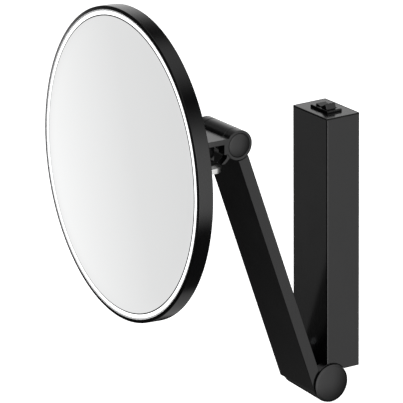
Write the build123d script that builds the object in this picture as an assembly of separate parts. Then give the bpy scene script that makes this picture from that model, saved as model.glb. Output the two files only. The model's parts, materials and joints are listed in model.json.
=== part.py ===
from build123d import *
import os
from math import sin, cos, radians

# Wall-mounted shaving mirror on a folding arm, in millimetres.
# Frame: +Z up, +X to the right when facing the wall, +Y into the wall.
# The origin lies on the wall face, midway between the two wall screws.

# ---- Driving dimensions ----
column_width = 40.0
column_depth = 27.0
column_height = 180.0
column_wall = 2.0
column_edge = 0.9
back_opening = 30.0        # open slot in the back of the column profile
screw_spacing = 112.0      # wall screws, centre to centre
screw_hole_r = 2.6
cable_entry_r = 7.0

arm_width = 40.0
arm_thickness = 8.4
arm_reach = 197.5          # lower axis to upper axis, along the arm
arm_lean = 19.35           # lean from the vertical as stored, degrees
fold_gap = 2.6             # column to arm when folded flat
axis_inset = 2.7           # lower axis behind the column's front face
axis_drop = 8.0            # lower axis below the column

upper_r = 10.3             # upper barrel
centre_half = 12.7         # half width of each centre knuckle
ear_inner = 13.2           # inner face of each outer knuckle
ear_outer = 20.0
recess_floor = 15.2        # bottom of the recesses in the outer knuckles
shaft_r = 4.0
running_gap = 0.05
free_gap = 0.35
left_knuckle_r = 11.3      # the lower end of the arm tapers towards the left
washer_r = 7.8

mirror_r = 106.0           # outside of the rim
head_depth = 11.0
glass_r = 98.7
pin_forward = 51.0         # upper axis to swivel pin
head_forward = 18.3        # swivel pin to the back of the head
head_drop = 1.6            # disc centre below the middle of the boss
fork_tilt = -1.4           # the fork points this much upwards as stored, degrees
head_swivel = -5.0         # swivel as stored, degrees

# ---- Worked out from them ----
column_bottom = -column_height / 2
column_top = column_height / 2
column_middle = -column_depth / 2
arm_back = axis_inset + fold_gap
arm_front = arm_back + arm_thickness
lower_y = axis_inset - column_depth
lower_z = column_bottom - axis_drop
arm_middle = (arm_back + arm_front) / 2
barrel_r = arm_front       # the arm's front runs tangent into its lower knuckles
lean_sin = sin(radians(arm_lean))
lean_cos = cos(radians(arm_lean))
upper_y = lower_y - arm_reach * lean_sin - arm_middle * lean_cos
upper_z = lower_z + arm_reach * lean_cos - arm_middle * lean_sin
boss_low = -11.0
boss_high = 1.45
boss_half = (boss_high - boss_low) / 2
boss_middle = (boss_high + boss_low) / 2


# ---- Shapes used again and again ----
def block(x0, x1, y0, y1, z0, z1):
    centre = Pos((x0 + x1) / 2, (y0 + y1) / 2, (z0 + z1) / 2)
    return centre * Box(x1 - x0, y1 - y0, z1 - z0)


def rod_x(radius, x0, x1, y=0.0, z=0.0):
    return Pos((x0 + x1) / 2, y, z) * Cylinder(radius, x1 - x0, rotation=(0, 90, 0))


def rod_y(radius, y0, y1, x=0.0, z=0.0):
    return Pos(x, (y0 + y1) / 2, z) * Cylinder(radius, y1 - y0, rotation=(90, 0, 0))


def rod_z(radius, z0, z1, x=0.0, y=0.0):
    return Pos(x, y, (z0 + z1) / 2) * Cylinder(radius, z1 - z0)


def ring_x(outer, inner, x0, x1):
    return rod_x(outer, x0, x1) - rod_x(inner, x0 - 1, x1 + 1)


def side_slab(points, x0, x1):
    # A (y, z) outline pushed along X.
    outline = make_face(Polyline(*points, close=True))
    return extrude(Plane.YZ.offset(x0) * outline, amount=x1 - x0)


def turned_y(points):
    # A (radius, y) outline spun about the Y axis.
    outline = make_face(Polyline(*points, close=True))
    return revolve(outline, Axis.Y, 360)


def both_sides(shape):
    return shape + mirror(shape, Plane.YZ)


def on_arm(shape):
    # From the arm's own frame, upright with the lower axis at its origin.
    return Pos(0, lower_y, lower_z) * Rot(arm_lean, 0, 0) * shape


def on_fork(shape):
    # From the upper hinge axis.
    return Pos(0, upper_y, upper_z) * Rot(fork_tilt, 0, 0) * shape


def on_head(shape):
    # From the swivel pin, level with the centre of the round head.
    return on_fork(Pos(0, -pin_forward, boss_middle - head_drop) * Rot(0, 0, head_swivel) * shape)


def countersunk_screw(radius, head_r, length):
    # Head at the origin facing +Y, shank running to -Y, hex socket in the head.
    head_depth_here = head_r - radius
    profile = [(0, 0), (head_r, 0), (radius, -head_depth_here), (radius, -length), (0, -length)]
    screw = turned_y(profile)
    socket = extrude(Plane.XZ * RegularPolygon(radius * 0.6, 6), amount=head_depth_here * 0.8)
    return screw - socket


# ---- Column ----
cap_inset = 0.7            # seal lip round the cap
cap_plate = 0.5
seal_low = column_top - 0.8
seal_floor = 0.3
skirt_low = 80.0
switch_half_x = 9.2
switch_half_y = 5.2
end_screw_x = 16.4
end_screw_z = (84.0, -80.0)
lock_y = -7.0
plate_low = -70.0
plate_high = 68.0
plate_thick = 2.5


def knuckle_clearance():
    right = rod_x(barrel_r + free_gap, centre_half + 0.2, 30, lower_y, lower_z)
    left = rod_x(left_knuckle_r + 2 * free_gap, -30, -centre_half - 0.2, lower_y, lower_z)
    return right + left


def end_screw_holes(radius, y0, y1):
    holes = []
    for z in end_screw_z:
        holes += [rod_y(radius, y0, y1, end_screw_x, z), rod_y(radius, y0, y1, -end_screw_x, z)]
    return holes


def column_housing():
    inner_width = column_width - 2 * column_wall
    inner_depth = column_depth - 2 * column_wall
    profile = Pos(0, column_middle) * RectangleRounded(column_width, column_depth, column_edge)
    profile -= Pos(0, column_middle) * Rectangle(inner_width, inner_depth)
    profile -= Pos(0, -column_wall / 2) * Rectangle(back_opening, column_wall + 1)
    for y in (-21.5, -18.5):
        for side in (-1, 1):
            profile += Pos(side * (inner_width / 2 - 0.7), y) * Rectangle(1.6, 1.0)
    body = extrude(Pos(0, 0, column_bottom) * profile, amount=seal_low - column_bottom)
    inner = block(-18, 18, -24.99, -2.01, skirt_low - 1, column_top)
    inner += block(-18, 18, -24.99, -2.01, column_bottom - 1, -72)
    body -= inner
    body -= knuckle_clearance()
    body -= rod_x(upper_r + free_gap, -ear_inner, ear_inner, lower_y, lower_z)
    for hole in end_screw_holes(2.4, -column_wall - 1, 1):
        body -= hole
    return body


def top_cap_seal():
    outer = Pos(0, column_middle) * RectangleRounded(column_width, column_depth, column_edge)
    frame = outer - Pos(0, column_middle) * Rectangle(34.4, 21.4)
    lip = outer - Pos(0, column_middle) * Rectangle(
        column_width - 2 * cap_inset, column_depth - 2 * cap_inset)
    seal = extrude(Pos(0, 0, seal_low) * frame, amount=seal_floor)
    return seal + extrude(Pos(0, 0, seal_low) * lip, amount=column_top - seal_low)


def column_top_cap():
    side = cap_inset + running_gap
    plate = Pos(0, column_middle) * Rectangle(column_width - 2 * side, column_depth - 2 * side)
    cap = extrude(Pos(0, 0, column_top - cap_plate) * plate, amount=cap_plate)
    cap += block(-17, 17, column_middle - 10.5, column_middle + 10.5, column_top - 2.5, column_top - 0.3)
    skirt = block(-17, 17, column_middle - 10.5, column_middle + 10.5, skirt_low, column_top - 2.5)
    skirt -= block(-15.4, 15.4, column_middle - 9, column_middle + 9, skirt_low - 1, column_top - 2.5)
    lugs = both_sides(block(14.4, 17, -8, column_middle + 10.5, skirt_low, column_top - 2.5))
    cap += skirt + lugs
    cap -= block(-switch_half_x - 0.1, switch_half_x + 0.1, column_middle - switch_half_y - 0.1,
                 column_middle + switch_half_y + 0.1, skirt_low, column_top + 1)
    for hole in end_screw_holes(1.27, -8, 0):
        cap -= hole
    return cap


def column_bottom_carrier():
    plug = block(-17.8, 17.8, -24.8, -2.2, column_bottom, -73)
    plug -= block(-9, 9, -20.5, -11, column_bottom + 5, -72)
    plug -= knuckle_clearance()
    neck = block(-centre_half, centre_half, -column_depth, lower_y + 9.5, lower_z, column_bottom)
    body = plug + neck + rod_x(upper_r, -centre_half, centre_half, lower_y, lower_z)
    body -= rod_x(shaft_r + running_gap, -14, 14, lower_y, lower_z)
    body -= rod_z(2.2, column_bottom - 1, -72, 0, lock_y)
    body -= rod_z(4.2, column_bottom - 1, column_bottom + 3.2, 0, lock_y)
    body -= rod_z(2.0, column_bottom - 6, column_bottom + 6, 7.5, -17.2)
    for hole in end_screw_holes(1.27, -8, 0):
        body -= hole
    return body


def wall_plate():
    plate = block(-14.6, 14.6, -plate_thick, 0, plate_low, plate_high - 10)
    lip = block(-14.6, 14.6, -6.3, -3.9, plate_high - 10, plate_high)
    step = block(-14.6, 14.6, -6.3, 0, plate_high - 12.4, plate_high - 10)
    tab = block(-6.5, 6.5, -11, -plate_thick, plate_low, plate_low + 2.5)
    plate += lip + step + tab
    for z in (-screw_spacing / 2, screw_spacing / 2):
        plate -= rod_y(screw_hole_r, -4, 1, 0, z)
    plate -= rod_y(cable_entry_r, -4, 1)
    plate -= rod_z(1.65, plate_low - 1, plate_low + 3, 0, lock_y)
    return plate


def hanger_block():
    body = block(-17.4, 17.4, -7.6, -2.2, plate_high + 0.4, plate_high + 6)
    hook = block(-14.2, 14.2, -3.7, -1.0, plate_high - 7, plate_high + 6)
    return body + hook


def lock_screw():
    screw = rod_z(1.6, column_bottom + 3.0, plate_low + 4, 0, lock_y)
    screw += rod_z(3.2, column_bottom + 0.4, column_bottom + 3.2, 0, lock_y)
    socket = extrude(Pos(0, lock_y, column_bottom + 0.4) * RegularPolygon(1.5, 6), amount=1.6)
    return screw - socket


def end_fixing_screws():
    screws = []
    for z in end_screw_z:
        for x in (-end_screw_x, end_screw_x):
            head = rod_y(2.1, -column_wall - 0.2, -0.6, x, z)
            shank = rod_y(1.25, -7.5, -column_wall - 0.2, x, z)
            socket = extrude(Pos(x, -0.6, z) * Plane.XZ * RegularPolygon(0.9, 6), amount=1.0)
            screws.append(head + shank - socket)
    return Compound(children=screws)


def driver_tray():
    return block(-17.6, 17.6, -20.9, -19.1, -34, 52)


def led_driver():
    case = block(-13, 13, -19.1, -5.6, 8, 48)
    return chamfer(case.edges().filter_by(Axis.Z), 1.0)


def terminal_block():
    body = block(-9.5, 9.5, -19.1, -8, -32, -12)
    for x in (-6, 0, 6):
        body -= rod_z(1.6, -20, -11, x, -14)
        body -= rod_y(1.5, -12, -7, x, -17.5)
        body -= rod_z(1.2, -33, -26, x, -14)
    return body


def terminal_screws():
    screws = []
    for x in (-6, 0, 6):
        slot = block(x - 1.5, x + 1.5, -9.0, -8.0, -17.7, -17.3)
        screws.append(rod_y(1.4, -11.5, -8.5, x, -17.5) - slot)
    return Compound(children=screws)


def column_lead():
    return rod_z(1.5, -73, 8, 11.6, -12.0)


# ---- Rocker switch ----
bezel_top = column_top + 1.8
rocker_z = column_top - 0.3
rocker_tilt = 11.0


def switch_housing():
    y0 = column_middle
    body = block(-switch_half_x, switch_half_x, y0 - switch_half_y, y0 + switch_half_y, 72, column_top)
    bezel = block(-10, 10, y0 - 6, y0 + 6, column_top, bezel_top)
    bezel = chamfer(bezel.edges().group_by(Axis.Z)[-1], 0.4)
    body += bezel
    body -= block(-6.6, 6.6, y0 - 4.2, y0 + 4.2, column_top - 5.4, bezel_top + 1)
    return body - rod_y(1.05, y0 - 5.0, y0 + 5.0, 0, rocker_z)


def switch_rocker():
    top = 4.6
    points = [(-4.5, -3.5), (4.5, -3.5), (6.3, 0.5), (5.6, top), (0, top - 1.9), (-5.6, top), (-6.3, 0.5)]
    face = make_face(Polyline(*points, close=True))
    key = extrude(Plane.XZ.offset(-4.0) * face, amount=8.0)
    key += rod_y(1.0, -4.9, 4.9)
    return Pos(0, column_middle, rocker_z) * Rot(0, -rocker_tilt, 0) * key


def switch_contacts():
    blades = []
    for x in (-5.5, 0, 5.5):
        blades.append(block(x - 0.4, x + 0.4, column_middle - 2.4, column_middle + 2.4, 65, 72))
    return Compound(children=blades)


def switch_leads():
    leads = [rod_z(0.9, 48, 65, x, column_middle) for x in (-5.5, 5.5)]
    return Compound(children=leads)


# ---- Arm ----
pocket_low = 26.0
pocket_high = 170.0
cover_margin = 6.0
cover_depth = 1.2
cover_screw_x = 10.0


def cover_screw_places():
    for z in (pocket_low - cover_margin / 2, pocket_high + cover_margin / 2):
        for x in (-cover_screw_x, cover_screw_x):
            yield x, z


lower_lip = 1.5            # the front face stops this much higher at the left


def lower_lip_cut():
    # A slanting 45 degree cut under the front face, running out at the right.
    half = arm_width / 2
    across = (arm_width, 0, -lower_lip)
    down = (-lower_lip, -arm_width, -arm_width)
    start = Plane(origin=(-half, -arm_front, lower_lip), x_dir=across, z_dir=down)
    return start * Box(3 * arm_width, 20, 10, align=(Align.CENTER, Align.CENTER, Align.MIN))


def arm_body():
    half = arm_width / 2
    bar = block(-half, half, -arm_front, -arm_back, 0, arm_reach) - lower_lip_cut()
    body = bar + Cone(left_knuckle_r, barrel_r, arm_width, rotation=(0, 90, 0))
    centre = side_slab([(0, 0), (-30, 0), (-30, -30), (5.3, -30)], -ear_inner, ear_inner)
    hollow = block(-ear_inner, ear_inner, -barrel_r - 1, barrel_r + 1, -barrel_r - 1, barrel_r + 1)
    hollow -= centre
    hollow -= block(-ear_inner, ear_inner, -arm_front - 1, -arm_back, 0, barrel_r + 1)
    body -= hollow
    body -= rod_x(upper_r + 0.3, -ear_inner, ear_inner)
    body -= both_sides(rod_x(upper_r + 0.6, centre_half, 30, -arm_middle, arm_reach))
    body += rod_x(upper_r, -centre_half, centre_half, -arm_middle, arm_reach)
    body -= rod_x(shaft_r + running_gap, -14, 14, -arm_middle, arm_reach)
    body -= rod_x(shaft_r + 0.02, -half - 1, half + 1)
    body -= both_sides(rod_x(7.2, recess_floor, half + 1))
    body -= block(-14, 14, -arm_front + 2.6, -arm_back + 1, pocket_low, pocket_high)
    body -= block(-16, 16, -arm_back - cover_depth, -arm_back + 1,
                  pocket_low - cover_margin, pocket_high + cover_margin)
    body -= block(-3, 3, -arm_front + 2.6, -arm_back - 1.4, 6, pocket_low + 1)
    body -= block(-3, 3, -arm_front + 2.6, -arm_back - 1.4, pocket_high - 1, arm_reach - 9)
    for x, z in cover_screw_places():
        body -= rod_y(1.27, -arm_back - 5.6, -arm_back, x, z)
    return on_arm(body)


def arm_back_cover():
    gap = 0.12
    cover = block(-16 + gap, 16 - gap, -arm_back - cover_depth, -arm_back,
                  pocket_low - cover_margin + gap, pocket_high + cover_margin - gap)
    for x, z in cover_screw_places():
        cone = Pos(x, -arm_back, z) * turned_y([(0, 0), (2.35, 0), (1.3, -1.15), (1.3, -2), (0, -2)])
        cover -= cone
    return on_arm(cover)


def arm_cover_screws():
    screw = countersunk_screw(1.25, 2.25, 5.2)
    screws = [on_arm(Pos(x, -arm_back, z) * screw) for x, z in cover_screw_places()]
    return Compound(children=screws)


def arm_lead():
    return on_arm(rod_z(1.6, pocket_low + 0.5, pocket_high - 0.5, 0, -arm_middle + 0.4))


# ---- Hinge hardware, the same in both hinges ----
def hinge_shaft():
    shaft = rod_x(shaft_r, -recess_floor, recess_floor)
    shaft += rod_x(6.4, recess_floor, recess_floor + 1.6)
    shaft += rod_x(3.0, -recess_floor - 3.2, -recess_floor)
    slot = block(recess_floor + 0.8, recess_floor + 2, -7, 7, -0.6, 0.6)
    return shaft - slot


def friction_washers():
    washer = ring_x(washer_r, shaft_r + 0.1, centre_half + 0.05, ear_inner)
    return Compound(children=[washer, mirror(washer, Plane.YZ)])


def spring_washers():
    first = ring_x(6.2, 3.1, -recess_floor - 0.45, -recess_floor)
    second = ring_x(6.2, 3.1, -recess_floor - 0.95, -recess_floor - 0.5)
    return Compound(children=[first, second])


def hinge_nut():
    nut_near = -recess_floor - 1.0
    nut = extrude(Plane.YZ.offset(nut_near) * RegularPolygon(5.6, 6), amount=-2.0)
    return nut - rod_x(3.05, nut_near - 3, nut_near + 1)


# ---- Lower hinge caps ----
cap_r = 13.3
cap_near = 20.3
cap_far = 22.3
left_cap_r = 10.9
left_cap_far = 21.0


def lower_cap_right():
    disc = rod_x(cap_r, cap_near, cap_far)
    disc = fillet(disc.edges().group_by(Axis.X)[-1], 0.9)
    return on_arm(disc + rod_x(7.0, 18.6, cap_near))


def lower_cap_left():
    disc = rod_x(left_cap_r, -left_cap_far, -cap_near)
    disc = fillet(disc.edges().group_by(Axis.X)[0], 0.4)
    return on_arm(disc + rod_x(7.0, -cap_near, -18.6))


# ---- Fork that carries the head ----
upper_plate_low = 2.1
upper_plate_high = 5.8
lower_plate_low = -16.9
lower_plate_high = -11.6
lower_plate_bevel = 1.9
ear_cap_r = 8.0
pin_round = 12.0
taper_start = 37.0
gusset_outer = 19.4
plate_corner = 7.0         # rounded rear corners of the lower plate
fork_screw_places = (-20.0, -32.0)


def fork_plan(y0):
    # Outline of a fork plate: straight sides, then a taper to the swivel pin.
    straight = Pos(0, (y0 - taper_start) / 2) * Rectangle(2 * ear_outer, y0 + taper_start)
    front = Pos(0, -taper_start) * Rectangle(2 * ear_outer, 0.2)
    nose = Pos(0, -pin_forward) * Circle(pin_round)
    return straight + make_hull(front.edges() + nose.edges())


def head_fork():
    ear = rod_x(upper_r, ear_inner, ear_outer)
    ear += block(ear_inner, ear_outer, -11.9, 0, -4.9, upper_plate_high)
    gusset = [(-6.8, -4.9), (-6.8, -7.7), (-7.35, -8.45), (-10.8, -11.6),
              (-13.6, -11.6), (-9.3, -7.6), (-9.3, -4.9)]
    ear += side_slab(gusset, ear_inner + 0.8, gusset_outer)
    body = both_sides(ear)
    plan = fork_plan(-9.0)
    body += extrude(Pos(0, 0, upper_plate_low) * plan, amount=upper_plate_high - upper_plate_low)
    body += block(-9, 9, -37, -12.5, lower_plate_high, upper_plate_low)
    body -= rod_x(upper_r + 0.5, -ear_inner, ear_inner)
    body -= rod_x(shaft_r + 0.02, -21, 21)
    body -= both_sides(rod_x(ear_cap_r + 0.4, recess_floor, 21))
    body -= rod_z(shaft_r, 0, 4.8, 0, -pin_forward)
    for y in fork_screw_places:
        body -= rod_z(1.5, lower_plate_high - 1, -6, 0, y)
    return on_fork(body)


def fork_lower_plate():
    thick = lower_plate_high - lower_plate_low
    plate = extrude(Pos(0, 0, lower_plate_low) * fork_plan(-10.8), amount=thick)
    plate = fillet(plate.edges().filter_by(Axis.Z).group_by(Axis.Y)[-1], plate_corner)
    plate = chamfer(plate.edges().group_by(Axis.Z)[-1], lower_plate_bevel)
    plate -= rod_z(shaft_r + 0.02, -20, 0, 0, -pin_forward)
    plate -= rod_z(7.3, -20, lower_plate_low + 3, 0, -pin_forward)
    for y in fork_screw_places:
        plate -= rod_z(1.6, -20, 0, 0, y)
        plate -= rod_z(3.0, -20, lower_plate_low + 3, 0, y)
    return on_fork(plate)


def fork_screws():
    screws = []
    for y in fork_screw_places:
        screw = rod_z(1.48, lower_plate_low + 2.8, -6.4, 0, y)
        screw += rod_z(2.8, lower_plate_low + 0.3, lower_plate_low + 2.9, 0, y)
        socket = extrude(Pos(0, y, lower_plate_low + 0.3) * RegularPolygon(1.4, 6), amount=1.5)
        screws.append(on_fork(screw - socket))
    return Compound(children=screws)


def upper_cap(side):
    cap = rod_x(ear_cap_r, 18.6, 20.3)
    cap = fillet(cap.edges().group_by(Axis.X)[-1], 0.35)
    if side < 0:
        cap = mirror(cap, Plane.YZ)
    return on_fork(cap)


def swivel_pin():
    head_low = lower_plate_low + 0.2
    pin = rod_z(shaft_r - 0.01, lower_plate_low + 2.9, 4.6, 0, -pin_forward)
    pin += rod_z(7.0, head_low, lower_plate_low + 3, 0, -pin_forward)
    socket = extrude(Pos(0, -pin_forward, head_low) * RegularPolygon(2.9, 6), amount=2.0)
    return on_fork(pin - socket)


def swivel_washers():
    washers = []
    for z0, z1 in ((lower_plate_high, boss_low - 0.03), (boss_high + 0.03, upper_plate_low)):
        ring = rod_z(10.5, z0, z1) - rod_z(4.1, z0 - 1, z1 + 1)
        washers.append(on_fork(Pos(0, -pin_forward, 0) * ring))
    return Compound(children=washers)


# ---- Head ----
back_y = -head_forward
front_y = -head_forward - head_depth
shell_thick = 1.8
flange_thick = 3.0
flange_r = 24.0
boss_screw_r = 17.0
post_r = 80.0
led_count = 48


def around(count, radius, start=0.0):
    for index in range(count):
        angle = radians(start + 360 * index / count)
        yield radius * cos(angle), radius * sin(angle)


def swivel_boss():
    flange_y = back_y + flange_thick
    body = rod_z(11, head_drop - boss_half, head_drop + boss_half)
    body += block(-11, 11, flange_y, 0, head_drop - boss_half, head_drop + boss_half)
    body += rod_y(flange_r, back_y, flange_y)
    body -= rod_z(shaft_r + running_gap, -20, 20)
    body -= rod_y(2.5, back_y - 1, -7)
    for x, z in around(4, boss_screw_r, 45):
        body -= rod_y(1.5, back_y - 1, flange_y - 0.6, x, z)
    return on_head(body)


def boss_screws():
    screws = []
    for x, z in around(4, boss_screw_r, 45):
        shank = rod_y(1.48, back_y - shell_thick, back_y + flange_thick - 0.8, x, z)
        head = rod_y(2.8, back_y - shell_thick - 1.6, back_y - shell_thick, x, z)
        screws.append(on_head(shank + head))
    return Compound(children=screws)


def back_shell():
    shell = rod_y(mirror_r - 2.5, back_y - shell_thick, back_y)
    for x, z in around(4, boss_screw_r, 45):
        shell -= rod_y(1.6, back_y - 3, back_y + 1, x, z)
    for x, z in around(6, post_r):
        sink = [(0, 1), (2.95, 1), (2.95, 0), (1.6, -1.35), (1.6, -3), (0, -3)]
        shell -= Pos(x, back_y, z) * turned_y(sink)
    shell -= rod_y(2.5, back_y - 3, back_y + 1)
    return on_head(shell)


def back_screws():
    screw = countersunk_screw(1.48, 2.75, 6.0)
    screws = [on_head(Pos(x, back_y, z) * screw) for x, z in around(6, post_r)]
    return Compound(children=screws)


def mirror_carrier():
    disc = rod_y(98.5, back_y - 7.8, back_y - 6.6)
    for x, z in around(6, post_r):
        disc += rod_y(3.5, back_y - 6.6, back_y - shell_thick, x, z)
        disc -= rod_y(1.5, back_y - 6.4, back_y, x, z)
    return on_head(disc)


def glass_pad():
    return on_head(rod_y(95.0, back_y - 8.4, back_y - 7.8))


def mirror_glass():
    glass = rod_y(glass_r, front_y + 0.1, back_y - 8.4)
    return on_head(chamfer(glass.edges().group_by(Axis.Y)[0], 0.25))


def rim_ring():
    outer = mirror_r
    points = [(outer, back_y), (outer, front_y), (103.6, front_y), (102.15, front_y + 0.9),
              (102.15, front_y + 2.5), (outer - 2.3, front_y + 2.5), (outer - 2.3, back_y)]
    return on_head(turned_y(points))


def diffuser_ring():
    points = [(98.9, front_y + 0.2), (102.0, front_y + 0.2), (102.0, front_y + 1.5), (98.9, front_y + 1.5)]
    return on_head(turned_y(points))


def reflector_ring():
    floor = back_y - shell_thick
    points = [(98.9, floor), (103.4, floor), (103.4, floor - 0.8), (99.4, floor - 0.8),
              (99.4, front_y + 1.55), (98.9, front_y + 1.55)]
    return on_head(turned_y(points))


def led_board():
    near = back_y - shell_thick - 0.8
    return on_head(turned_y([(99.5, near), (103.3, near), (103.3, near - 1.0), (99.5, near - 1.0)]))


def leds():
    near = back_y - shell_thick - 1.8
    chip = block(100.1, 102.1, near - 0.8, near, -1.4, 1.4)
    chips = [on_head(Rot(0, 360 * index / led_count, 0) * chip) for index in range(led_count)]
    return Compound(children=chips)


def head_lead():
    route = FilletPolyline((0, back_y, 0), (0, back_y - 4.2, 0), (0, back_y - 4.2, -98.6), radius=2.4)
    start = Plane(origin=(0, back_y, 0), z_dir=(0, -1, 0))
    return on_head(sweep(start * Circle(1.1), path=route))


nodes = {
    "column_housing": column_housing(),
    "column_top_cap": column_top_cap(),
    "top_cap_seal": top_cap_seal(),
    "column_bottom_carrier": column_bottom_carrier(),
    "wall_plate": wall_plate(),
    "hanger_block": hanger_block(),
    "lock_screw": lock_screw(),
    "end_fixing_screws": end_fixing_screws(),
    "driver_tray": driver_tray(),
    "led_driver": led_driver(),
    "terminal_block": terminal_block(),
    "terminal_screws": terminal_screws(),
    "column_lead": column_lead(),
    "switch_housing": switch_housing(),
    "switch_rocker": switch_rocker(),
    "switch_contacts": switch_contacts(),
    "switch_leads": switch_leads(),
    "arm_body": arm_body(),
    "arm_back_cover": arm_back_cover(),
    "arm_cover_screws": arm_cover_screws(),
    "arm_lead": arm_lead(),
    "lower_hinge_shaft": on_arm(hinge_shaft()),
    "lower_friction_washers": on_arm(friction_washers()),
    "lower_spring_washers": on_arm(spring_washers()),
    "lower_hinge_nut": on_arm(hinge_nut()),
    "lower_cap_right": lower_cap_right(),
    "lower_cap_left": lower_cap_left(),
    "head_fork": head_fork(),
    "upper_hinge_shaft": on_fork(hinge_shaft()),
    "upper_friction_washers": on_fork(friction_washers()),
    "upper_spring_washers": on_fork(spring_washers()),
    "upper_hinge_nut": on_fork(hinge_nut()),
    "upper_cap_right": upper_cap(1),
    "upper_cap_left": upper_cap(-1),
    "fork_lower_plate": fork_lower_plate(),
    "fork_screws": fork_screws(),
    "swivel_pin": swivel_pin(),
    "swivel_washers": swivel_washers(),
    "swivel_boss": swivel_boss(),
    "boss_screws": boss_screws(),
    "back_shell": back_shell(),
    "back_screws": back_screws(),
    "mirror_carrier": mirror_carrier(),
    "glass_pad": glass_pad(),
    "mirror_glass": mirror_glass(),
    "rim_ring": rim_ring(),
    "diffuser_ring": diffuser_ring(),
    "reflector_ring": reflector_ring(),
    "led_board": led_board(),
    "leds": leds(),
    "head_lead": head_lead(),
}

os.makedirs("parts", exist_ok=True)
for name, shape in nodes.items():
    export_step(shape, f"parts/{name}.step")
print("lower axis", lower_y, lower_z, "upper axis", round(upper_y, 3), round(upper_z, 3))
tilt_sin = sin(radians(fork_tilt))
tilt_cos = cos(radians(fork_tilt))
pin_y = upper_y - pin_forward * tilt_cos - boss_middle * tilt_sin
pin_z = upper_z - pin_forward * tilt_sin + boss_middle * tilt_cos
print("swivel axis", round(pin_y, 3), round(pin_z, 3), "direction", round(-tilt_sin, 6), round(tilt_cos, 6))
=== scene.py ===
import json
import math
import bmesh
import bpy
from mathutils import Matrix, Vector


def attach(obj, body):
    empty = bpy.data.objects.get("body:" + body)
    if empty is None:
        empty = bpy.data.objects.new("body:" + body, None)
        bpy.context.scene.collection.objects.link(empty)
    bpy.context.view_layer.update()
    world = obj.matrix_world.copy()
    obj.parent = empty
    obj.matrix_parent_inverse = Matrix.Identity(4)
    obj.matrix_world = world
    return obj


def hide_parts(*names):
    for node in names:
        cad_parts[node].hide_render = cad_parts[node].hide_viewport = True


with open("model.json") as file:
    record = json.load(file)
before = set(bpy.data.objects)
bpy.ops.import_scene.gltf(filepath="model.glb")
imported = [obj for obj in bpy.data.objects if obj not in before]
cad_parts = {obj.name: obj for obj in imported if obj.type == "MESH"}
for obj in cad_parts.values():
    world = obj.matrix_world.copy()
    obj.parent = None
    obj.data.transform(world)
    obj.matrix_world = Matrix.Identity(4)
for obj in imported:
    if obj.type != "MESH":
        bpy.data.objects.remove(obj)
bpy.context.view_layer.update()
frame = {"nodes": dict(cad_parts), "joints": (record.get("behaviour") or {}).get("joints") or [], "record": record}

nodes = frame["nodes"]
joints = {j["name"]: j for j in frame["joints"]}
mm = 0.001


# The frames that the moving bodies are built in
def jointPlace(name):
    return Vector(joints[name]["pos_m"])


armLean = -joints["lower_hinge"]["range_deg"][0]  # the arm stands upright at its lower limit
swivelAxis = Vector(joints["head_swivel"]["axis"])
forkTilt = -math.degrees(math.atan2(swivelAxis.y, swivelAxis.z))
swivelRange = joints["head_swivel"]["range_deg"]
headSwivel = -(swivelRange[0] + swivelRange[1]) / 2  # the range is even about straight ahead
armFrame = Matrix.Translation(jointPlace("lower_hinge")) @ Matrix.Rotation(math.radians(armLean), 4, "X")
forkFrame = Matrix.Translation(jointPlace("upper_hinge")) @ Matrix.Rotation(math.radians(forkTilt), 4, "X")
pinPlace = forkFrame.inverted() @ jointPlace("head_swivel")
headDrop = 1.6 * mm  # the round head hangs a little below the middle of its boss
headFrame = (forkFrame @ Matrix.Translation((0, pinPlace.y, pinPlace.z - headDrop))
             @ Matrix.Rotation(math.radians(headSwivel), 4, "Z"))


# Camera
camSetup = {"lens": 567.3, "yaw": 55.68, "pitch": 18.22, "roll": -0.37,
            "place": (3.3265, -2.3866, 1.3696)}


def addCamera():
    cam = bpy.data.cameras.new("camera")
    cam.sensor_width = 36
    cam.lens = camSetup["lens"]
    cam.clip_end = 60
    obj = bpy.data.objects.new("camera", cam)
    bpy.context.scene.collection.objects.link(obj)
    turn = (Matrix.Rotation(math.radians(camSetup["yaw"]), 4, "Z")
            @ Matrix.Rotation(math.radians(90 - camSetup["pitch"]), 4, "X")
            @ Matrix.Rotation(math.radians(camSetup["roll"]), 4, "Z"))
    obj.matrix_world = Matrix.Translation(camSetup["place"]) @ turn
    bpy.context.scene.camera = obj


addCamera()
bpy.context.scene.view_settings.view_transform = "Standard"
print("camera set")


# Node helpers
def newMaterial(name):
    mat = bpy.data.materials.new(name)
    mat.use_nodes = True
    tree = mat.node_tree
    return mat, tree, tree.nodes["Principled BSDF"]


def addNode(tree, kind, **values):
    node = tree.nodes.new(kind)
    for key, value in values.items():
        if hasattr(node, key):
            setattr(node, key, value)
        else:
            node.inputs[key].default_value = value
    return node


def mathNode(tree, operation, a, b=0.0, clamp=False):
    node = tree.nodes.new("ShaderNodeMath")
    node.operation = operation
    node.use_clamp = clamp
    for socket, value in zip(node.inputs, (a, b)):
        if isinstance(value, (int, float)):
            socket.default_value = value
        else:
            tree.links.new(value, socket)
    return node.outputs[0]


def rangeNode(tree, value, low, high, toLow=0.0, toHigh=1.0, smooth=False):
    node = tree.nodes.new("ShaderNodeMapRange")
    node.interpolation_type = "SMOOTHSTEP" if smooth else "LINEAR"
    tree.links.new(value, node.inputs["Value"])
    for key, number in (("From Min", low), ("From Max", high), ("To Min", toLow), ("To Max", toHigh)):
        node.inputs[key].default_value = number
    return node.outputs["Result"]


def colourMix(tree, factor, a, b):
    node = tree.nodes.new("ShaderNodeMix")
    node.data_type = "RGBA"
    tree.links.new(factor, node.inputs["Factor"])
    for socket, colour in ((node.inputs["A"], a), (node.inputs["B"], b)):
        if isinstance(colour, tuple):
            socket.default_value = (*colour, 1)
        else:
            tree.links.new(colour, socket)
    return node.outputs["Result"]


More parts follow.
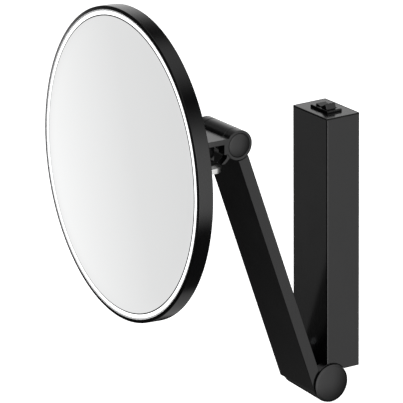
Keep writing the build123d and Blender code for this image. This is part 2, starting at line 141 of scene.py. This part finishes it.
def newGroup(name, inputs, outputs):
    group = bpy.data.node_groups.new(name, "ShaderNodeTree")
    for key, kind, value in inputs:
        socket = group.interface.new_socket(key, in_out="INPUT", socket_type=kind)
        socket.default_value = value
    for key, kind in outputs:
        group.interface.new_socket(key, in_out="OUTPUT", socket_type=kind)
    return group, group.nodes.new("NodeGroupInput"), group.nodes.new("NodeGroupOutput")


# Fine pebbling of a sprayed or moulded skin, and slow shifts of its gloss.
def makeSkinGroup():
    group, inp, out = newGroup(
        "sprayedSkin",
        [("Size", "NodeSocketFloat", 1800.0), ("Patch", "NodeSocketFloat", 40.0)],
        [("Height", "NodeSocketFloat"), ("Patches", "NodeSocketFloat")])
    coord = group.nodes.new("ShaderNodeTexCoord")
    fine = addNode(group, "ShaderNodeTexNoise", Detail=2.0, Roughness=0.55)
    slow = addNode(group, "ShaderNodeTexNoise", Detail=3.0, Roughness=0.6)
    link = group.links.new
    link(coord.outputs["Object"], fine.inputs["Vector"])
    link(coord.outputs["Object"], slow.inputs["Vector"])
    link(inp.outputs["Size"], fine.inputs["Scale"])
    link(inp.outputs["Patch"], slow.inputs["Scale"])
    link(fine.outputs["Fac"], out.inputs["Height"])
    link(rangeNode(group, slow.outputs["Fac"], 0.3, 0.7), out.inputs["Patches"])
    return group


# Thin scratches and dust specks from handling.
def makeWearGroup():
    group, inp, out = newGroup(
        "handlingWear",
        [("Scale", "NodeSocketFloat", 90.0), ("Amount", "NodeSocketFloat", 0.5)],
        [("Scratches", "NodeSocketFloat"), ("Specks", "NodeSocketFloat")])
    link = group.links.new
    coord = group.nodes.new("ShaderNodeTexCoord")
    stretch = addNode(group, "ShaderNodeMapping")
    stretch.inputs["Rotation"].default_value = (0.4, 0.9, 0.3)
    stretch.inputs["Scale"].default_value = (9.0, 9.0, 0.35)
    link(coord.outputs["Object"], stretch.inputs["Vector"])
    lines = addNode(group, "ShaderNodeTexNoise", Detail=1.0)
    link(stretch.outputs["Vector"], lines.inputs["Vector"])
    link(inp.outputs["Scale"], lines.inputs["Scale"])
    thin = rangeNode(group, lines.outputs["Fac"], 0.67, 0.72)
    link(mathNode(group, "MULTIPLY", thin, inp.outputs["Amount"]), out.inputs["Scratches"])
    dots = addNode(group, "ShaderNodeTexVoronoi", Scale=700.0)
    link(coord.outputs["Object"], dots.inputs["Vector"])
    near = rangeNode(group, dots.outputs["Distance"], 0.16, 0.08)
    link(mathNode(group, "MULTIPLY", near, inp.outputs["Amount"]), out.inputs["Specks"])
    return group


# Fine parallel lines of a brushed or drawn metal, along one axis.
def makeBrushGroup():
    group, inp, out = newGroup(
        "brushedLines",
        [("Along", "NodeSocketVector", (4.0, 900.0, 900.0))],
        [("Lines", "NodeSocketFloat")])
    link = group.links.new
    coord = group.nodes.new("ShaderNodeTexCoord")
    scale = addNode(group, "ShaderNodeVectorMath", operation="MULTIPLY")
    link(coord.outputs["Object"], scale.inputs[0])
    link(inp.outputs["Along"], scale.inputs[1])
    noise = addNode(group, "ShaderNodeTexNoise", Scale=1.0, Detail=3.0, Roughness=0.6)
    link(scale.outputs["Vector"], noise.inputs["Vector"])
    link(noise.outputs["Fac"], out.inputs["Lines"])
    return group


skinGroup = makeSkinGroup()
wearGroup = makeWearGroup()
brushGroup = makeBrushGroup()


def placeGroup(tree, group, **values):
    node = tree.nodes.new("ShaderNodeGroup")
    node.node_tree = group
    for key, value in values.items():
        node.inputs[key].default_value = value
    return node


def addBump(tree, bsdf, height, strength, distance):
    bump = addNode(tree, "ShaderNodeBump", Strength=strength, Distance=distance)
    tree.links.new(height, bump.inputs["Height"])
    tree.links.new(bump.outputs["Normal"], bsdf.inputs["Normal"])


# One recipe for coated and moulded skins.
def skinMaterial(name, look):
    mat, tree, bsdf = newMaterial(name)
    skin = placeGroup(tree, skinGroup, Size=look["grain"], Patch=look["patch"])
    wear = placeGroup(tree, wearGroup, Amount=look["wear"])
    shade = colourMix(tree, skin.outputs["Patches"], look["dark"], look["light"])
    worn = colourMix(tree, wear.outputs["Specks"], shade, look["dust"])
    tree.links.new(worn, bsdf.inputs["Base Color"])
    rough = rangeNode(tree, skin.outputs["Patches"], 0, 1, look["roughLow"], look["roughHigh"])
    scuffed = mathNode(tree, "ADD", rough, mathNode(tree, "MULTIPLY", wear.outputs["Scratches"], 0.18))
    tree.links.new(scuffed, bsdf.inputs["Roughness"])
    addBump(tree, bsdf, skin.outputs["Height"], look["bump"], look["depth"])
    bsdf.inputs["Specular IOR Level"].default_value = look["specular"]
    return mat


# One recipe for bare metals.
def metalMaterial(name, look):
    mat, tree, bsdf = newMaterial(name)
    brush = placeGroup(tree, brushGroup, Along=look["along"])
    skin = placeGroup(tree, skinGroup, Size=900.0, Patch=60.0)
    shade = colourMix(tree, skin.outputs["Patches"], look["dark"], look["light"])
    tree.links.new(shade, bsdf.inputs["Base Color"])
    rough = rangeNode(tree, brush.outputs["Lines"], 0.3, 0.7, look["roughLow"], look["roughHigh"])
    tree.links.new(rough, bsdf.inputs["Roughness"])
    addBump(tree, bsdf, brush.outputs["Lines"], look["bump"], 0.0001)
    bsdf.inputs["Metallic"].default_value = 1.0
    return mat


blackCoatLook = {"dark": (0.0024, 0.0024, 0.0026), "light": (0.004, 0.004, 0.0042),
                 "dust": (0.03, 0.03, 0.03), "grain": 2600.0, "patch": 35.0, "wear": 0.25,
                 "roughLow": 0.14, "roughHigh": 0.19, "bump": 0.06, "depth": 0.00012, "specular": 0.5}
blackCapLook = dict(blackCoatLook, grain=3200.0, roughLow=0.13, roughHigh=0.18, bump=0.03)
blackPlasticLook = dict(blackCoatLook, dark=(0.006, 0.006, 0.0063), light=(0.009, 0.009, 0.0095),
                        grain=1500.0, roughLow=0.42, roughHigh=0.52, bump=0.35, depth=0.0002, specular=0.4)
switchLook = dict(blackCoatLook, grain=2200.0, roughLow=0.15, roughHigh=0.2, bump=0.05)
rubberLook = dict(blackCoatLook, dark=(0.006, 0.006, 0.006), light=(0.009, 0.009, 0.009), grain=1400.0,
                  roughLow=0.7, roughHigh=0.85, bump=0.2, specular=0.2)
cableLook = dict(rubberLook, dark=(0.012, 0.012, 0.012), light=(0.02, 0.02, 0.02),
                 roughLow=0.45, roughHigh=0.55)
cableWhiteLook = dict(cableLook, dark=(0.6, 0.6, 0.58), light=(0.7, 0.7, 0.68), dust=(0.5, 0.5, 0.48))
foamLook = dict(rubberLook, dark=(0.03, 0.03, 0.03), light=(0.05, 0.05, 0.05),
                grain=900.0, bump=0.8, depth=0.0004)
driverLook = dict(blackPlasticLook, dark=(0.62, 0.62, 0.6), light=(0.68, 0.68, 0.66), dust=(0.5, 0.5, 0.48))
terminalLook = dict(driverLook, dark=(0.72, 0.7, 0.62), light=(0.78, 0.76, 0.68))
boardLook = dict(driverLook, dark=(0.74, 0.75, 0.74), light=(0.8, 0.81, 0.8),
                 roughLow=0.3, roughHigh=0.4, bump=0.1)
whiteLook = dict(driverLook, dark=(0.8, 0.8, 0.8), light=(0.86, 0.86, 0.86), bump=0.15)
ledLook = dict(driverLook, dark=(0.8, 0.62, 0.12), light=(0.88, 0.7, 0.18),
               roughLow=0.25, roughHigh=0.35, bump=0.1)
zincLook = {"dark": (0.42, 0.43, 0.45), "light": (0.56, 0.57, 0.6), "roughLow": 0.26, "roughHigh": 0.4,
            "along": (500.0, 500.0, 500.0), "bump": 0.12}
stainlessLook = {"dark": (0.6, 0.6, 0.59), "light": (0.7, 0.7, 0.69), "roughLow": 0.22, "roughHigh": 0.36,
                 "along": (900.0, 6.0, 900.0), "bump": 0.1}
springLook = dict(zincLook, dark=(0.24, 0.24, 0.25), light=(0.34, 0.34, 0.35))
bronzeLook = dict(zincLook, dark=(0.42, 0.27, 0.12), light=(0.55, 0.38, 0.18), roughLow=0.35, roughHigh=0.5)
brassLook = dict(zincLook, dark=(0.62, 0.45, 0.18), light=(0.74, 0.56, 0.26))
mirrorLook = {"silver": (0.93, 0.935, 0.935), "speck": (0.88, 0.88, 0.88), "paintedGapShade": (0.05, 0.055, 0.055),
              "wear": 0.12, "scale": 60.0, "scuff": 0.05}
opalLook = {"dark": (0.94, 0.94, 0.94), "light": (0.98, 0.98, 0.98), "cool": (0.97, 0.985, 1.0),
            "white": (1.0, 1.0, 1.0), "grain": 1200.0, "patch": 120.0, "glow": 1.6, "rough": 0.35}


# The "shade" attribute is 0 at the glass's edge, which is painted dark as painted shade for the shadow in the gap
# by the lit ring, and 1 on its silvered face.
def mirrorMaterial(look):
    mat, tree, bsdf = newMaterial("silveredGlass")
    wear = placeGroup(tree, wearGroup, Amount=look["wear"], Scale=look["scale"])
    shade = colourMix(tree, wear.outputs["Specks"], look["silver"], look["speck"])
    edge = addNode(tree, "ShaderNodeAttribute", attribute_name="shade")
    # Painted shade: the glass's edge gets a dark colour that stands in for the shadow in the gap between glass and
    # lit ring.
    paintedGapShade = colourMix(tree, edge.outputs["Fac"], look["paintedGapShade"], shade)
    tree.links.new(paintedGapShade, bsdf.inputs["Base Color"])
    rough = mathNode(tree, "MULTIPLY", wear.outputs["Scratches"], look["scuff"])
    tree.links.new(rough, bsdf.inputs["Roughness"])
    bsdf.inputs["Metallic"].default_value = 1.0
    return mat


# Here "shade" is how brightly each part of the ring is lit.
def opalMaterial(look):
    mat, tree, bsdf = newMaterial("opalLight")
    skin = placeGroup(tree, skinGroup, Size=look["grain"], Patch=look["patch"])
    shade = colourMix(tree, skin.outputs["Patches"], look["dark"], look["light"])
    tree.links.new(shade, bsdf.inputs["Base Color"])
    glow = colourMix(tree, skin.outputs["Patches"], look["cool"], look["white"])
    lit = addNode(tree, "ShaderNodeAttribute", attribute_name="shade")
    fading = colourMix(tree, lit.outputs["Fac"], (0.0, 0.0, 0.0), glow)
    tree.links.new(fading, bsdf.inputs["Emission Color"])
    bsdf.inputs["Emission Strength"].default_value = look["glow"]
    bsdf.inputs["Roughness"].default_value = look["rough"]
    return mat


materials = {
    "black_coat": skinMaterial("blackCoat", blackCoatLook),
    "black_coat_smooth": skinMaterial("blackCap", blackCapLook),
    "black_plastic": skinMaterial("blackPlastic", blackPlasticLook),
    "switch_plastic": skinMaterial("switchPlastic", switchLook),
    "seal_rubber": skinMaterial("sealRubber", rubberLook),
    "steel_zinc": metalMaterial("zincSteel", zincLook),
    "stainless": metalMaterial("satinStainless", stainlessLook),
    "spring_steel": metalMaterial("springSteel", springLook),
    "bronze": metalMaterial("bearingBronze", bronzeLook),
    "brass": metalMaterial("plainBrass", brassLook),
    "driver_plastic": skinMaterial("driverPlastic", driverLook),
    "terminal_plastic": skinMaterial("terminalPlastic", terminalLook),
    "cable_black": skinMaterial("blackCable", cableLook),
    "cable_white": skinMaterial("whiteCable", cableWhiteLook),
    "board_white": skinMaterial("boardWhite", boardLook),
    "led_yellow": skinMaterial("ledPhosphor", ledLook),
    "white_plastic": skinMaterial("whitePlastic", whiteLook),
    "opal": opalMaterial(opalLook),
    "foam": skinMaterial("padFoam", foamLook),
    "mirror_silver": mirrorMaterial(mirrorLook),
}
slotOf = {s["node"]: s["material_slot"] for s in frame["record"]["subparts"]}
for name, obj in nodes.items():
    obj.data.materials.clear()
    obj.data.materials.append(materials[slotOf[name]])
print("materials made")


# The light is a set of soft cards. Each has its strength by compass turn, in degrees from the
# right-hand side, and fades in from its foot and out at its top, given by the height of the direction.
studioCards = [
    # the right-hand side
    {"ring": [(0, 4.5), (6, 4.0), (14, 1.8), (20, 1.5), (29, 1.15), (36, 1.08), (42, 0.6), (49, 0.06),
              (60, 0.05), (100, 0), (334, 0), (344, 4.5), (360, 4.5)],
     "foot": (-0.58, -0.32), "top": (0.3, 0.74)},
    # behind and to the left, for the top faces
    {"ring": [(0, 0), (100, 0), (122, 0.05), (135, 0.93), (190, 0.93), (197, 0), (360, 0)],
     "foot": (-0.31, -0.24), "top": (0.3, 0.74)},
    # low at the left, which the glass looks into
    {"ring": [(0, 0), (193, 0), (195, 0.72), (202, 0.73), (203.5, 0.765), (204.3, 0.8), (205.3, 0.89),
              (206.4, 1.01), (207.8, 1.02), (210, 0.6), (212, 0), (360, 0)],
     "foot": (-0.33, -0.31), "top": (-0.2, -0.09)},
    # beside it, for the column's front face
    {"ring": [(0, 0), (209.5, 0), (212, 0.34), (216, 0.32), (222, 0.22), (227, 0), (360, 0)],
     "foot": (-0.354, -0.332), "top": (-0.2, -0.09)},
    # the glow off the ground
    {"ring": [(0, 0), (90, 0), (100, 0.4), (205, 0.4), (215, 0), (360, 0)],
     "foot": (-2.0, -1.5), "top": (-0.7, -0.57)},
    # a fill high in front
    {"ring": [(0, 0), (236, 0), (250, 0.45), (310, 0.45), (325, 0), (360, 0)],
     "foot": (0.0, 0.15), "top": (0.6, 0.8)},
    # overhead
    {"ring": [(0, 0.8), (360, 0.8)], "foot": (0.76, 0.9), "top": (1.5, 2.0)}]
worldLook = {"dim": 0.02, "backdrop": 1.05}


def ringRamp(tree, turn, ring):
    ramp = tree.nodes.new("ShaderNodeValToRGB")
    tree.links.new(turn, ramp.inputs["Fac"])
    stops = ramp.color_ramp.elements
    while len(stops) < len(ring):
        stops.new(0.5)
    for stop, (angle, level) in zip(stops, ring):
        stop.position = angle / 360
        stop.color = (level, level, level, 1)
    return ramp.outputs["Color"]


def addWorld():
    world = bpy.data.worlds.new("studio")
    bpy.context.scene.world = world
    world.use_nodes = True
    tree = world.node_tree
    tree.nodes.clear()
    link = tree.links.new
    look = worldLook
    out = tree.nodes.new("ShaderNodeOutputWorld")
    coord = tree.nodes.new("ShaderNodeTexCoord")
    split = tree.nodes.new("ShaderNodeSeparateXYZ")
    link(coord.outputs["Generated"], split.inputs[0])
    rise = split.outputs["Z"]
    turn = mathNode(tree, "ARCTAN2", split.outputs["Y"], split.outputs["X"])
    part = mathNode(tree, "DIVIDE", turn, 2 * math.pi)
    whole = mathNode(tree, "FRACT", mathNode(tree, "ADD", part, 1.0))
    strength = look["dim"]
    for card in studioCards:
        foot = rangeNode(tree, rise, card["foot"][0], card["foot"][1], 0, 1, True)
        top = rangeNode(tree, rise, card["top"][0], card["top"][1], 1, 0, True)
        band = mathNode(tree, "MULTIPLY", foot, top)
        level = mathNode(tree, "MULTIPLY", ringRamp(tree, whole, card["ring"]), band)
        strength = mathNode(tree, "ADD", level, strength)
    path = tree.nodes.new("ShaderNodeLightPath")
    white = addNode(tree, "ShaderNodeBackground", Strength=look["backdrop"])
    white.inputs["Color"].default_value = (1, 1, 1, 1)
    studio = addNode(tree, "ShaderNodeBackground")
    studio.inputs["Color"].default_value = (1, 1, 1, 1)
    link(strength, studio.inputs["Strength"])
    mix = tree.nodes.new("ShaderNodeMixShader")
    link(path.outputs["Is Camera Ray"], mix.inputs["Fac"])
    link(studio.outputs[0], mix.inputs[1])
    link(white.outputs[0], mix.inputs[2])
    link(mix.outputs[0], out.inputs["Surface"])


floorLook = {"half": (4, 2.6, 1), "place": (-1.5, 3.0, -0.6), "glow": 0.95,
             "dark": (0.92, 0.92, 0.92), "light": (0.94, 0.94, 0.94)}


def addFloor():
    mat, tree, bsdf = newMaterial("paleFloor")
    skin = placeGroup(tree, skinGroup, Size=60.0, Patch=2.0)
    shade = colourMix(tree, skin.outputs["Patches"], floorLook["dark"], floorLook["light"])
    tree.links.new(shade, bsdf.inputs["Base Color"])
    bsdf.inputs["Roughness"].default_value = 0.9
    bsdf.inputs["Emission Color"].default_value = (1, 1, 1, 1)
    bsdf.inputs["Emission Strength"].default_value = floorLook["glow"]
    # Only the camera sees the floor, so that the black parts reflect the studio and not the floor.
    path = tree.nodes.new("ShaderNodeLightPath")
    clear = tree.nodes.new("ShaderNodeBsdfTransparent")
    mix = tree.nodes.new("ShaderNodeMixShader")
    tree.links.new(path.outputs["Is Camera Ray"], mix.inputs["Fac"])
    tree.links.new(clear.outputs[0], mix.inputs[1])
    tree.links.new(bsdf.outputs[0], mix.inputs[2])
    tree.links.new(mix.outputs[0], tree.nodes["Material Output"].inputs["Surface"])
    bm = bmesh.new()
    bmesh.ops.create_grid(bm, x_segments=1, y_segments=1, size=1)
    bmesh.ops.scale(bm, vec=floorLook["half"], verts=bm.verts)
    bmesh.ops.translate(bm, vec=floorLook["place"], verts=bm.verts)
    mesh = bpy.data.meshes.new("floor")
    bm.to_mesh(mesh)
    bm.free()
    mesh.materials.append(mat)
    floor = bpy.data.objects.new("floor", mesh)
    bpy.context.scene.collection.objects.link(floor)


addWorld()
addFloor()
print("light set")


# Making pieces
bodyOf = {name: body for body, names in frame["record"]["behaviour"]["bodies"].items() for name in names}


def finishPiece(bm, name, replaced, material, place=None, tidy=False, crease=32):
    if tidy:
        bmesh.ops.remove_doubles(bm, verts=bm.verts, dist=1e-6)
        bmesh.ops.recalc_face_normals(bm, faces=bm.faces)
    if place is not None:
        bmesh.ops.transform(bm, matrix=place, verts=bm.verts)
    for face in bm.faces:
        face.smooth = True
    for edge in bm.edges:
        edge.smooth = len(edge.link_faces) == 2 and edge.calc_face_angle() < math.radians(crease)
    mesh = bpy.data.meshes.new(name)
    bm.to_mesh(mesh)
    bm.free()
    mesh.materials.append(materials[material])
    obj = bpy.data.objects.new(name, mesh)
    bpy.context.scene.collection.objects.link(obj)
    steady = obj.modifiers.new("steadyNormals", "WEIGHTED_NORMAL")
    steady.keep_sharp = True
    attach(obj, bodyOf[replaced[0]])
    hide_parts(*replaced)
    return obj


cleanUp = {"merge": 2e-6, "flat": 0.6, "hard": 40, "shortest": 0.6}  # metres, degrees, degrees, mm


# A copy of a frame piece with its hard edges rounded over.
def softened(name, look):
    bm = bmesh.new()
    bm.from_mesh(nodes[name].data)
    bmesh.ops.remove_doubles(bm, verts=bm.verts, dist=cleanUp["merge"])
    flat = math.radians(cleanUp["flat"])
    bmesh.ops.dissolve_limit(bm, angle_limit=flat, verts=bm.verts, edges=bm.edges)
    limit = math.radians(cleanUp["hard"])
    hard = [e for e in bm.edges if len(e.link_faces) == 2 and e.calc_face_angle() > limit
            and e.calc_length() > cleanUp["shortest"] * mm]
    bmesh.ops.bevel(bm, geom=hard, offset=look["edge"] * mm, offset_type="OFFSET", segments=look["steps"],
                    profile=0.5, affect="EDGES", clamp_overlap=True, material=-1)
    return finishPiece(bm, "soft_" + name, [name], look["material"])


# An outline of (radius, along, shade) spun about an axis of the frame given. Shade is 1 where it is left out.
def spunPiece(points, name, replaced, material, place, axis, steps, crease=32):
    bm = bmesh.new()
    shade = bm.verts.layers.float.new("shade")
    verts = []
    for radius, along, *level in points:
        spot = (radius * mm, along * mm, 0) if axis == "Y" else (along * mm, radius * mm, 0)
        vert = bm.verts.new(spot)
        vert[shade] = level[0] if level else 1.0
        verts.append(vert)
    for a, b in zip(verts, verts[1:]):
        bm.edges.new((a, b))
    centre = (0, 1, 0) if axis == "Y" else (1, 0, 0)
    bmesh.ops.spin(bm, geom=bm.verts[:] + bm.edges[:], cent=(0, 0, 0), axis=centre, angle=2 * math.pi,
                   steps=steps, use_merge=True, use_duplicate=False)
    return finishPiece(bm, name, replaced, material, place, tidy=True, crease=crease)


def cornerArc(centre, radius, start, end, steps):
    points = []
    for k in range(steps + 1):
        angle = math.radians(start + (end - start) * k / steps)
        points.append((centre[0] + radius * math.cos(angle), centre[1] + radius * math.sin(angle)))
    return points


# Column and switch
columnLook = {"edge": 0.5, "material": "black_coat", "steps": 3}
softened("column_housing", columnLook)
softened("column_top_cap", dict(columnLook, edge=0.2))
softened("top_cap_seal", dict(columnLook, edge=0.08, material="seal_rubber"))
softened("column_bottom_carrier", dict(columnLook, edge=0.35, material="black_plastic"))
softened("switch_housing", {"edge": 0.3, "material": "switch_plastic", "steps": 3})
softened("switch_rocker", {"edge": 0.35, "material": "switch_plastic", "steps": 4})
softened("wall_plate", {"edge": 0.3, "material": "steel_zinc", "steps": 2})
print("column made")


# Arm
armLook = {"edge": 1.0, "material": "black_coat", "steps": 3}
softened("arm_body", armLook)
softened("arm_back_cover", dict(armLook, edge=0.15))
lowerCap = {"radius": 13.3, "near": 20.3, "far": 22.3, "face": 11.9, "crown": 0.64, "band": 0.26,
            "groove": 0.35, "steps": 96, "crease": 3.5}
upperCap = dict(lowerCap, radius=8.0, near=18.6, far=20.3, face=7.2, crown=0.38, band=0.14)
leftCap = {"edge": 0.2, "material": "black_coat_smooth", "steps": 2}


# A slightly domed face, a sloping band round it, then the side down to a groove at the joint.
def capOutline(look):
    rim, face, far = look["radius"], look["face"], look["far"]
    shoulder = far - look["crown"]
    edge = shoulder - look["band"]
    near, groove = look["near"], rim - look["groove"]
    points = [(0, near), (groove, near), (groove, near + 0.2)]
    points += [(rim - 0.05, near + 0.22), (rim, near + 0.28), (rim, edge - 0.06)]
    points += [(rim - 0.02, edge), (rim - 0.07, edge + 0.04)]
    points += [(face + 0.06, shoulder - 0.03), (face, shoulder)]
    for k in range(1, 11):
        part = 1 - k / 10
        points.append((face * part, far - look["crown"] * part ** 2))
    return points


def rightCap(look, name, replaced, place):
    return spunPiece(capOutline(look), name, [replaced], "black_coat_smooth", place, "X",
                     look["steps"], look["crease"])


rightCap(lowerCap, "lowerCapRight", "lower_cap_right", armFrame)
rightCap(upperCap, "upperCapRight", "upper_cap_right", forkFrame)
softened("lower_cap_left", leftCap)
softened("upper_cap_left", leftCap)
print("arm made")


# Fork
forkLook = {"edge": 0.5, "material": "black_coat", "steps": 3}
softened("head_fork", forkLook)
softened("fork_lower_plate", {"edge": 0.3, "material": "stainless", "steps": 3})
print("fork made")


# Head
headLook = {"outer": 106.0, "back": -18.3, "front": -29.3, "lip": 103.55, "inner": 103.7, "edge": 0.45,
            "slope": 0.35, "ledge": 2.5, "glass": 99.5, "glassBack": 8.4, "hollow": 1.2,
            "ringIn": 100.05, "ringOut": 102.5, "ringDeep": 0.25, "ringBack": 2.2}


def rimOutline(look):
    r, f, b, e = look["outer"], look["front"], look["back"], look["edge"]
    points = [(look["inner"], b), (r - e, b)]
    points += cornerArc((r - e, b - e), e, 90, 0, 4)
    points += cornerArc((r - e, f + look["slope"] + e), e, 0, -70, 6)
    points += [(look["lip"] + 0.12, f), (look["lip"], f + 0.12), (look["lip"], f + look["ledge"])]
    points += [(look["inner"], f + look["ledge"]), (look["inner"], b)]
    return points


def glassOutline(look):
    f, g, b = look["front"] + 0.1, look["glass"], look["back"] - look["glassBack"]
    # The points with shade 0, the glass's edge and front bevel, are painted dark as painted shade for the gap by
    # the lit ring.
    points = [(0, b), (g, b, 0), (g, f + 0.2, 0), (g - 0.12, f + 0.04, 0)]
    points += [(g - 0.14, f + 0.03, 0), (g - 0.18, f + 0.02, 1)]
    for k in range(1, 25):
        part = 1 - k / 24
        points.append(((g - 0.2) * part, f + look["hollow"] * (1 - part ** 2)))
    return points


# The lit ring's face ends, past a narrow groove, in a dimmer bevel at the rim.
def diffuserOutline(look):
    f, a, b, lip = look["front"], look["ringIn"], look["ringOut"], look["lip"] - 0.05
    top = f + look["ringDeep"]
    low = f + look["ringBack"]
    points = [(a, low, 0), (a, top + 0.15, 0), (a + 0.05, top + 0.05, 0.2), (a + 0.2, top, 1)]
    points += [(b - 0.1, top, 1), (b, top + 0.1, 0.3), (b + 0.03, top + 0.35, 0)]
    points += [(b + 0.18, top + 0.35, 0), (b + 0.2, top + 0.3, 0.12)]
    points += [(lip, f + 0.06, 0.12), (lip, low, 0), (a, low, 0)]
    return points


spunPiece(rimOutline(headLook), "rimRing", ["rim_ring"], "black_coat", headFrame, "Y", 256)
spunPiece(glassOutline(headLook), "mirrorGlass", ["mirror_glass"], "mirror_silver", headFrame, "Y", 192)
spunPiece(diffuserOutline(headLook), "litRing", ["diffuser_ring"], "opal", headFrame, "Y", 256)
softened("back_shell", {"edge": 0.4, "material": "black_coat", "steps": 3})
softened("swivel_boss", {"edge": 0.5, "material": "black_coat", "steps": 3})
print("head made")
